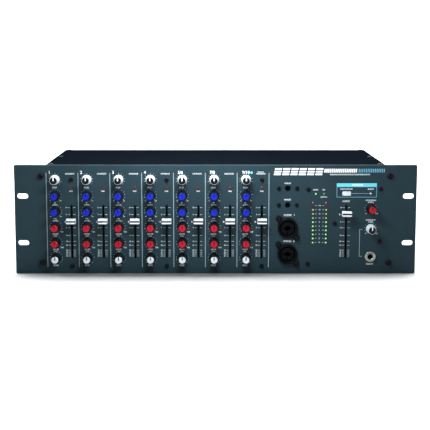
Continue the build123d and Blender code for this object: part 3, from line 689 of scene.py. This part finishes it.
groups = {}
for point, radius in LENSES:
    name, rim_mat, core_mat, slot_name = light_look(point, radius)
    groups.setdefault(name, (rim_mat, core_mat, slot_name, []))[3].append((point, radius))
for name, (rim_mat, core_mat, slot_name, points) in groups.items():
    bm = bmesh.new()
    for point, radius in points:
        r = radius + 0.05
        rim = [(r, -1.0), (r, 0.35), (r * 0.92, 0.70), (r * 0.78, 0.90), (r * 0.60, 1.0)]
        core = [(r * 0.62, 0.6), (r * 0.62, 0.98), (r * 0.46, 1.14), (r * 0.26, 1.21), (0.04, 1.24)]
        turn(bm, rim, 28, (point.x, point.z))
        turn(bm, core, 28, (point.x, point.z), material=1)
    piece = link(name, to_mesh(bm, name, 60), "unit", [rim_mat, core_mat])
    piece.location = (0, FACE_Y, 0)

# ------------------------------------------------------------------- printing
PRINT_THICK = 0.04
PRINT_SINK = 0.02


class Print:
    """Flat printing on the panel's face, gathered into one mesh for each ink. Units are mm."""

    def __init__(self, name, mat, slot_name, thick=PRINT_THICK):
        self.name = name
        self.thick = thick
        self.mat = mat
        self.slot_name = slot_name
        self.bm = bmesh.new()

    def shape(self, points):
        """A flat outline, given counter-clockwise as the viewer sees it."""
        y_front = (FACE_MM - self.thick) * MM
        y_back = (FACE_MM + PRINT_SINK) * MM
        front = [self.bm.verts.new((x * MM, y_front, z * MM)) for x, z in points]
        back = [self.bm.verts.new((x * MM, y_back, z * MM)) for x, z in points]
        self.bm.faces.new(front)
        self.bm.faces.new(back[::-1])
        for i in range(len(points)):
            j = (i + 1) % len(points)
            self.bm.faces.new((front[i], back[i], back[j], front[j]))

    def bar(self, x0, z0, x1, z1, lean=0.0):
        self.shape([(x0, z0), (x1, z0), (x1 + lean, z1), (x0 + lean, z1)])

    def line(self, start, end, width):
        a = Vector(start)
        b = Vector(end)
        side = (b - a).normalized()
        across = Vector((-side.y, side.x)) * width / 2
        self.shape([tuple(a - across), tuple(b - across), tuple(b + across), tuple(a + across)])

    def dot(self, x, z, radius, sides=10):
        angles = [2 * math.pi * i / sides for i in range(sides)]
        self.shape([(x + radius * math.cos(a), z + radius * math.sin(a)) for a in angles])

    def frame(self, x0, z0, x1, z1, width):
        self.bar(x0, z0, x0 + width, z1)
        self.bar(x1 - width, z0, x1, z1)
        self.bar(x0 + width, z0, x1 - width, z0 + width)
        self.bar(x0 + width, z1 - width, x1 - width, z1)

    def word(self, x, z, letters, height, lean=0.0):
        """A centred label of plain letter-like blocks that spell nothing."""
        pitch = height * 0.78
        left = x - letters * pitch / 2
        for i in range(letters):
            x0 = left + i * pitch
            x1 = x0 + pitch * 0.72
            kind = (i * 7 + letters * 3) % 4
            stroke = height * 0.22
            self.bar(x0, z - height / 2, x0 + stroke, z + height / 2, lean)
            if kind in (0, 2):
                self.bar(x1 - stroke, z - height / 2, x1, z + height / 2, lean)
            if kind in (0, 1, 3):
                top_end = x1 - stroke if kind == 0 else x1
                self.bar(x0 + stroke, z + height / 2 - stroke, top_end, z + height / 2, lean)
            if kind in (1, 3):
                self.bar(x0 + stroke, z - height / 2, x1, z - height / 2 + stroke, lean)
            if kind == 2:
                self.bar(x0 + stroke, z - stroke / 2, x1 - stroke, z + stroke / 2, lean)

    def number(self, text, x, z, height):
        """Plain numerals from Blender's own font, centred on a point."""
        curve = bpy.data.curves.new("numerals", "FONT")
        curve.body = text
        curve.size = height * 1.42 * MM
        curve.align_x = "CENTER"
        curve.align_y = "CENTER"
        curve.offset = height * 0.022 * MM
        curve.resolution_u = 2
        holder = bpy.data.objects.new("numerals", curve)
        bpy.context.scene.collection.objects.link(holder)
        mesh = bpy.data.meshes.new_from_object(holder)
        flat = bmesh.new()
        flat.from_mesh(mesh)
        place = Matrix.Translation((x * MM, (FACE_MM - self.thick) * MM, z * MM))
        flat.transform(place @ Matrix.Rotation(math.pi / 2, 4, "X"))
        pushed = bmesh.ops.extrude_face_region(flat, geom=list(flat.faces))["geom"]
        for vert in pushed:
            if isinstance(vert, bmesh.types.BMVert):
                vert.co.y += (self.thick + PRINT_SINK) * MM
        made = bpy.data.meshes.new("numerals")
        flat.to_mesh(made)
        flat.free()
        self.bm.from_mesh(made)
        bpy.data.objects.remove(holder)
        bpy.data.curves.remove(curve)
        bpy.data.meshes.remove(mesh)
        bpy.data.meshes.remove(made)

    def finish(self):
        return link(self.name, to_mesh(self.bm, self.name, 20), "unit", [self.mat])


white = Print("panel_print_white", INK_WHITE, "print_white")
bright = Print("panel_print_bright", INK_BRIGHT, "print_white")
lines = Print("panel_print_lines", INK_LINE, "print_white")
cyan = Print("panel_print_cyan", INK_CYAN, "print_cyan")
blue = Print("panel_print_blue", INK_BLUE, "print_cyan")

KNOB_X = [JOINTS[f"{strip}_trim_knob"]["pos_m"][0] / MM for strip in STRIPS]
KNOB_Z = [JOINTS[f"ch1_{knob}"]["pos_m"][2] / MM for knob in KNOBS]
STRIP_PITCH = KNOB_X[1] - KNOB_X[0]
DIVIDER_FROM_KNOB = -10.5
FADER_FROM_KNOB = 19.3
LINE_TOP = 56.9
LINE_BOTTOM = -58.4
LINE_HALF = 0.42
TICK_R = 7.35
TICK_END = 135
TICK_COUNT = 11
DASH = 2.6
DASH_HALF = 0.17
SCALE = [
    (14.7, "10"), (6.2, "5"), (-2.8, "0"), (-9.9, "5"), (-19.4, "10"), (-26.7, "15"),
    (-31.4, "20"), (-37.5, "30"), (-39.9, "40"), (-42.3, "50"), (-44.7, "60"),
]
KNOB_LABEL_Z = [39.1, 20.6, 1.2, -17.6, -36.6, -56.2]
KNOB_LETTERS = [4, 2, 3, 5, 5, 4]
KNOB_LETTER_HEIGHT = [1.9, 1.5, 1.5, 1.8, 1.8, 2.0]


def ticks(x, z):
    """A ring of scale dots round a knob."""
    for i in range(TICK_COUNT):
        angle = math.radians(-TICK_END + 2 * TICK_END * i / (TICK_COUNT - 1))
        white.dot(x + TICK_R * math.sin(angle), z + TICK_R * math.cos(angle), 0.3)


def scale_marks(x, marks, side_gap=1.9):
    """Numbers and dashes beside a fader's slot."""
    for z, text in marks:
        white.bar(x - side_gap - DASH, z - DASH_HALF, x - side_gap, z + DASH_HALF)
        white.bar(x + side_gap, z - DASH_HALF, x + side_gap + DASH, z + DASH_HALF)
        if text == "0":
            white.bar(x - side_gap - 5.0, z - DASH_HALF, x - side_gap - DASH, z + DASH_HALF)
            bright.number(text, x - side_gap - 6.0, z, 1.9)
        else:
            white.number(text, x - side_gap - 4.4, z, 1.5)


for i, x in enumerate(KNOB_X):
    divider = x + DIVIDER_FROM_KNOB
    fader_x = x + FADER_FROM_KNOB
    lines.bar(divider - LINE_HALF, LINE_BOTTOM, divider + LINE_HALF, LINE_TOP)
    half_length = 2.2 * (len(STRIP_TEXT[i]) if i > 3 else 1)
    bright.number(STRIP_TEXT[i], divider + 1.7 + half_length, 57.3, 3.5)
    white.word(fader_x - 1.2, 55.8, 9, 1.6)
    for row, z in enumerate(KNOB_Z):
        ticks(x, z)
        white.word(x - 0.4, KNOB_LABEL_Z[row], KNOB_LETTERS[row], KNOB_LETTER_HEIGHT[row])
        if row in (1, 2):
            white.bar(x - 6.6, z - 6.9, x - 5.3, z - 6.4)
            white.bar(x + 5.3, z - 6.9, x + 7.2, z - 6.4)
            white.word(x - 0.2, KNOB_LABEL_Z[row] - 2.6, 6, 1.3)
        if row in (3, 4):
            white.word(x + 7.6, z - 6.2, 3, 1.4)
            white.word(x - 0.4, KNOB_LABEL_Z[row] - 2.5, 4, 1.3)
    white.word(fader_x, 34.7, 4, 1.4)
    scale_marks(fader_x, SCALE)
last_divider = KNOB_X[-1] + STRIP_PITCH + DIVIDER_FROM_KNOB
lines.bar(last_divider - LINE_HALF, LINE_BOTTOM, last_divider + LINE_HALF, LINE_TOP)

# A small generic glyph beside the last strip's number, and a second short label line
glyph_x = KNOB_X[-1] + 6.6
cyan.dot(glyph_x, 57.2, 1.5, 20)
white.word(KNOB_X[-1] + FADER_FROM_KNOB - 1.6, 57.9, 8, 1.2)

# Upper right: blank generic bars where a maker's lettering would go
BAR_ROWS = (54.2, 57.4, 60.6)
BAR_PITCH = 9.9
BAR_LENGTH = 8.3
for i in range(6):
    for z in BAR_ROWS:
        x = 69.6 + BAR_PITCH * i + (z - BAR_ROWS[0]) * 0.2
        bright.bar(x, z, x + BAR_LENGTH, z + 1.9, 0.4)
for i in range(18):
    bright.bar(130.0 + 2.2 * i, 57.3, 131.4 + 2.2 * i, 61.8, 0.5)
for i in range(15):
    blue.bar(170.8 + 2.15 * i, 57.3, 171.9 + 2.15 * i, 61.8, 0.5)
white.word(161.0, 54.9, 40, 1.55)

# Sockets
white.word(86.7, 44.2, 6, 1.7)
white.word(86.7, 24.4, 6, 1.7)
white.word(87.0, 5.6, 6, 2.1)
bright.number("1", 94.6, 5.6, 2.2)
white.word(87.0, -26.4, 6, 2.1)
bright.number("2", 94.6, -26.4, 2.2)

# Level meters
METER_POINTS = [point for point, radius in LENSES if radius > 1.3 and 20 > point.z > -30]
METER_X = sorted({round(point.x, 1) for point in METER_POINTS})
METER_Z = sorted({round(point.z, 1) for point in METER_POINTS if point.x > 100}, reverse=True)
METER_TEXT = ["+12", "+9", "+6", "+3", "0", "3", "6", "9", "15", "24"]
meter_mid = sum(METER_X) / 2
for z, text in zip(METER_Z, METER_TEXT):
    white.number(text, meter_mid, z, 1.5)
    white.bar(METER_X[0] + 2.6, z - DASH_HALF, METER_X[0] + 4.4, z + DASH_HALF)
    white.bar(METER_X[1] - 4.4, z - DASH_HALF, METER_X[1] - 2.6, z + DASH_HALF)
for x in METER_X:
    white.word(x, 20.8, 1, 1.5)
white.word(120.1, 36.4, 5, 1.5)
white.word(130.0, 36.4, 3, 1.5)
white.word(130.0, 27.6, 7, 1.5)

# Wireless receiver's box
BOX_LEFT, BOX_RIGHT = 145.2, 193.2
BAND_FOOT = 40.3
ON_BAND_THICK = 0.09
cyan.bar(BOX_LEFT, BAND_FOOT, BOX_RIGHT, 44.3)
on_band = Print("panel_print_on_band", INK_BRIGHT, "print_white", ON_BAND_THICK)
on_band.word(170.5, 42.2, 9, 1.9)
on_band.finish()
lines_cyan = Print("panel_print_frame", INK_BLUE, "print_cyan")
lines_cyan.frame(BOX_LEFT, 27.2, BOX_RIGHT, BAND_FOOT, 0.55)
lines_cyan.finish()
white.word(157.0, 37.3, 12, 1.6)
white.word(186.2, 37.3, 6, 1.6)
lines.bar(162.8, 31.6, 184.4, 32.1)

# Master section
MASTER_X = 157.0
white.word(MASTER_X, 22.5, 6, 1.9)
MASTER_SCALE = [
    (14.7, "10"), (6.2, "0"), (-2.8, "5"), (-9.9, "10"), (-19.4, "15"), (-26.7, "20"),
    (-31.4, "25"), (-37.5, "30"), (-39.9, "40"), (-42.3, "50"), (-44.7, "60"),
]
scale_marks(MASTER_X, MASTER_SCALE)
for node, label_z, letters in (("aux_return_knob", 23.6, 8), ("phones_level_knob", -0.4, 7)):
    x, _, z = [value / MM for value in JOINTS[node]["pos_m"]]
    ticks(x, z)
    white.word(x, label_z, letters + 3, 1.5)
    white.word(x, label_z - 2.4, letters - 2, 1.5)
    white.dot(x - 6.0, z - 5.9, 0.45)
    white.word(x + 7.4, z - 5.9, 3, 1.4)
lines.bar(173.3, -45.4, 173.9, -11.6)
lines.bar(173.9, -12.2, 176.9, -11.6)
lines.bar(173.9, -45.4, 176.9, -44.8)
white.word(186.6, -54.3, 6, 1.9)
for ink_print in (white, bright, lines, cyan, blue):
    ink_print.finish()

# Labels on the back: set out as on the face, then turned round to the rear wall
rear = Print("rear_print_white", INK_WHITE, "print_white")
rear_combos = sorted(point.x for point in COMBOS if point.y > 0)
for i, x in enumerate(rear_combos[::-1]):
    rear.number(str(i + 1), -x - 4.2, 34.2, 2.6)
    rear.word(-x + 2.4, 34.2, 5, 1.9)
for point in REAR_NUTS:
    up = 1 if point.z > 16 else -1
    rear.word(-point.x, point.z + up * 9.6, 5, 1.7)
rear.frame(-INLET.x - 30.0, INLET.z - 16.0, -INLET.x + 30.0, INLET.z + 16.0, 0.4)
rear_piece = rear.finish()
rear_piece.rotation_euler = (0, 0, math.pi)
rear_piece.location = (0, REAR_Y + FACE_Y, 0)

# ------------------------------------------------------------- socket details
MOUNTS = {mount["name"]: mount for mount in frame["record"]["mounts"]}
phones_x, _, phones_z = [value / MM for value in MOUNTS["phones_socket"]["pos_m"]]


def hex_knurl(angle, height):
    return 1.0 - 0.012 * (1 + math.cos(24 * angle)) / 2


bm = bmesh.new()
ring_turn(bm, [
    (4.72, 0.02), (6.7, 0.02), (6.7, 1.2), (6.45, 1.62), (5.9, 1.86), (5.0, 1.9), (4.72, 1.8),
], 72, (phones_x, phones_z), shape=hex_knurl)
bushing = [(3.32, 1.0), (4.68, 1.0), (4.68, 2.15), (4.45, 2.3), (3.55, 2.3), (3.32, 2.05)]
ring_turn(bm, bushing, 64, (phones_x, phones_z))
piece = link("phones_ring_nut", to_mesh(bm, "phones_ring_nut", 35), "unit", [NICKEL])
piece.location = (0, FACE_Y, 0)

OUTER_RIM = [(9.95, 2.0), (11.5, 2.0), (11.5, 2.55), (11.2, 2.8), (10.3, 2.8), (9.95, 2.5)]
JACK_RIM = [(3.35, 2.1), (4.3, 2.1), (4.3, 2.35), (4.1, 2.5), (3.55, 2.5), (3.35, 2.3)]
SHADOW_GAP = [(7.65, 0.45), (9.85, 0.45), (9.85, 1.5), (7.65, 1.5)]
bm = bmesh.new()
for point in [(combo.x, combo.z) for combo in COMBOS if combo.y < 50]:
    ring_turn(bm, OUTER_RIM, 72, point)
    ring_turn(bm, JACK_RIM, 48, point)
    ring_turn(bm, SHADOW_GAP, 72, point, material=1)
piece = link("input_rims", to_mesh(bm, "input_rims", 35), "unit", [SOCKET, DEEP])
piece.location = (0, FACE_Y, 0)

# ----------------------------------------------------------------------- stage
FLOOR_Z = PANEL_LOW.z - 0.0002
# Paper glow: bright far off to keep the backdrop white, weaker near the unit as painted shade round
# its base
PAPER_NEAR, PAPER_FAR = 0.25, 1.2
PAPER_GLOW_IN_PAINTED_SHADE, PAPER_GLOW_FAR = 0.04, 0.75
PAPER_FRONT = -5.0
PAPER_HALF_WIDTH = 6
PAPER_RISE = 5.0


def stage_piece(name, points, faces, mat):
    mesh = bpy.data.meshes.new(name)
    mesh.from_pydata(points, [], faces)
    mesh.materials.append(mat)
    made = bpy.data.objects.new(name, mesh)
    bpy.context.scene.collection.objects.link(made)
    made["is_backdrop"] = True
    return made


PAPER, paper_tree, paper_shader = new_material("studio_paper", (0.80,) * 3, 0.9, specular=0.05)
grain(paper_tree, paper_shader, 300.0, 0.05, 0.0002)
# The paper glows, weakest within PAPER_NEAR of the unit and full past PAPER_FAR: painted shade
# round the unit's base
paper_shader.inputs["Emission Color"].default_value = (1, 1, 1, 1)
paper_place = paper_tree.nodes.new("ShaderNodeTexCoord")
paper_reach = paper_tree.nodes.new("ShaderNodeVectorMath")
paper_reach.operation = "LENGTH"
paper_glow_with_painted_shade = paper_tree.nodes.new("ShaderNodeMapRange")
paper_glow_with_painted_shade.inputs["From Min"].default_value = PAPER_NEAR
paper_glow_with_painted_shade.inputs["From Max"].default_value = PAPER_FAR
paper_glow_with_painted_shade.inputs["To Min"].default_value = PAPER_GLOW_IN_PAINTED_SHADE
paper_glow_with_painted_shade.inputs["To Max"].default_value = PAPER_GLOW_FAR
paper_tree.links.new(paper_place.outputs["Object"], paper_reach.inputs[0])
paper_tree.links.new(paper_reach.outputs["Value"], paper_glow_with_painted_shade.inputs["Value"])
paper_tree.links.new(paper_glow_with_painted_shade.outputs["Result"], paper_shader.inputs["Emission Strength"])
SWEEP_R = 1.2
SWEEP_Y = 1.6
sweep = [(PAPER_FRONT, 0.0), (SWEEP_Y, 0.0)]
sweep += [
    (SWEEP_Y + SWEEP_R * math.sin(math.radians(a)), SWEEP_R * (1 - math.cos(math.radians(a))))
    for a in range(10, 91, 10)
]
sweep.append((SWEEP_Y + SWEEP_R, PAPER_RISE))
stage_piece(
    "backdrop",
    [(x, y, FLOOR_Z + rise) for y, rise in sweep for x in (-PAPER_HALF_WIDTH, PAPER_HALF_WIDTH)],
    [(2 * i, 2 * i + 1, 2 * i + 3, 2 * i + 2) for i in range(len(sweep) - 1)],
    PAPER,
)

world = bpy.data.worlds.new("studio")
bpy.context.scene.world = world
world.use_nodes = True
world_tree = world.node_tree
sky = world_tree.nodes["Background"]
sky.inputs["Color"].default_value = (0.92, 0.96, 1.0, 1)
sky.inputs["Strength"].default_value = 0.26
# Past the paper's edge the plain white goes on, without adding light
beyond = world_tree.nodes.new("ShaderNodeBackground")
beyond.inputs["Color"].default_value = (1, 1, 1, 1)
beyond.inputs["Strength"].default_value = 1.2
rays = world_tree.nodes.new("ShaderNodeLightPath")
chosen = world_tree.nodes.new("ShaderNodeMixShader")
world_tree.links.new(rays.outputs["Is Camera Ray"], chosen.inputs["Fac"])
world_tree.links.new(sky.outputs["Background"], chosen.inputs[1])
world_tree.links.new(beyond.outputs["Background"], chosen.inputs[2])
world_tree.links.new(chosen.outputs["Shader"], world_tree.nodes["World Output"].inputs["Surface"])

# The stage paper takes its light from above, so that a tight shadow stays under the panel; the
# paper's own glow, weaker near the unit, adds painted shade there
lit_pieces = bpy.data.collections.new("lit_pieces")
for piece in bpy.context.scene.objects:
    if piece.type == "MESH" and piece.name != "backdrop":
        lit_pieces.objects.link(piece)


def area_light(name, place, target, size, power, pieces_only):
    data = bpy.data.lights.new(name, "AREA")
    data.shape = "RECTANGLE"
    data.size, data.size_y = size
    data.energy = power
    lamp = bpy.data.objects.new(name, data)
    lamp.location = place
    lamp.rotation_euler = (Vector(target) - Vector(place)).to_track_quat("-Z", "Y").to_euler()
    if pieces_only:
        lamp.light_linking.receiver_collection = lit_pieces
    bpy.context.scene.collection.objects.link(lamp)


area_light("key_soft_box", (-0.25, -1.1, 1.3), (-0.05, 0, 0), (1.2, 0.6), 2.2, True)
area_light("panel_glow", (-0.02, -0.13, 0.225), (-0.02, 0, 0.02), (0.14, 0.05), 1.8, True)
area_light("top_soft_box", (0.0, 0.30, 1.9), (0, 0.1, 0), (2.6, 0.7), 70, False)
area_light("backdrop_wash", (0, 0.9, 2.2), (0, 2.6, 0.8), (3.5, 0.6), 60, False)

# ---------------------------------------------------------------------- camera
SENSOR = 36.0
CAMERA_X = -6.3 * MM
CAMERA_Z = 210.7 * MM
CAMERA_AWAY = 0.9618
PITCH = math.radians(6.0)
LENS = 68.12
SHIFT_X = 0.011
SHIFT_Y = -0.2
camera_data = bpy.data.cameras.new("camera")
camera_data.sensor_width = SENSOR
camera_data.lens = LENS
camera_data.shift_y = SHIFT_Y
camera_data.shift_x = SHIFT_X
camera = bpy.data.objects.new("camera", camera_data)
camera.location = (CAMERA_X, FACE_Y - CAMERA_AWAY, CAMERA_Z)
camera.rotation_euler = (math.pi / 2 - PITCH, 0, 0)
bpy.context.scene.collection.objects.link(camera)
bpy.context.scene.camera = camera
bpy.context.scene.view_settings.view_transform = "Standard"

low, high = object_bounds()
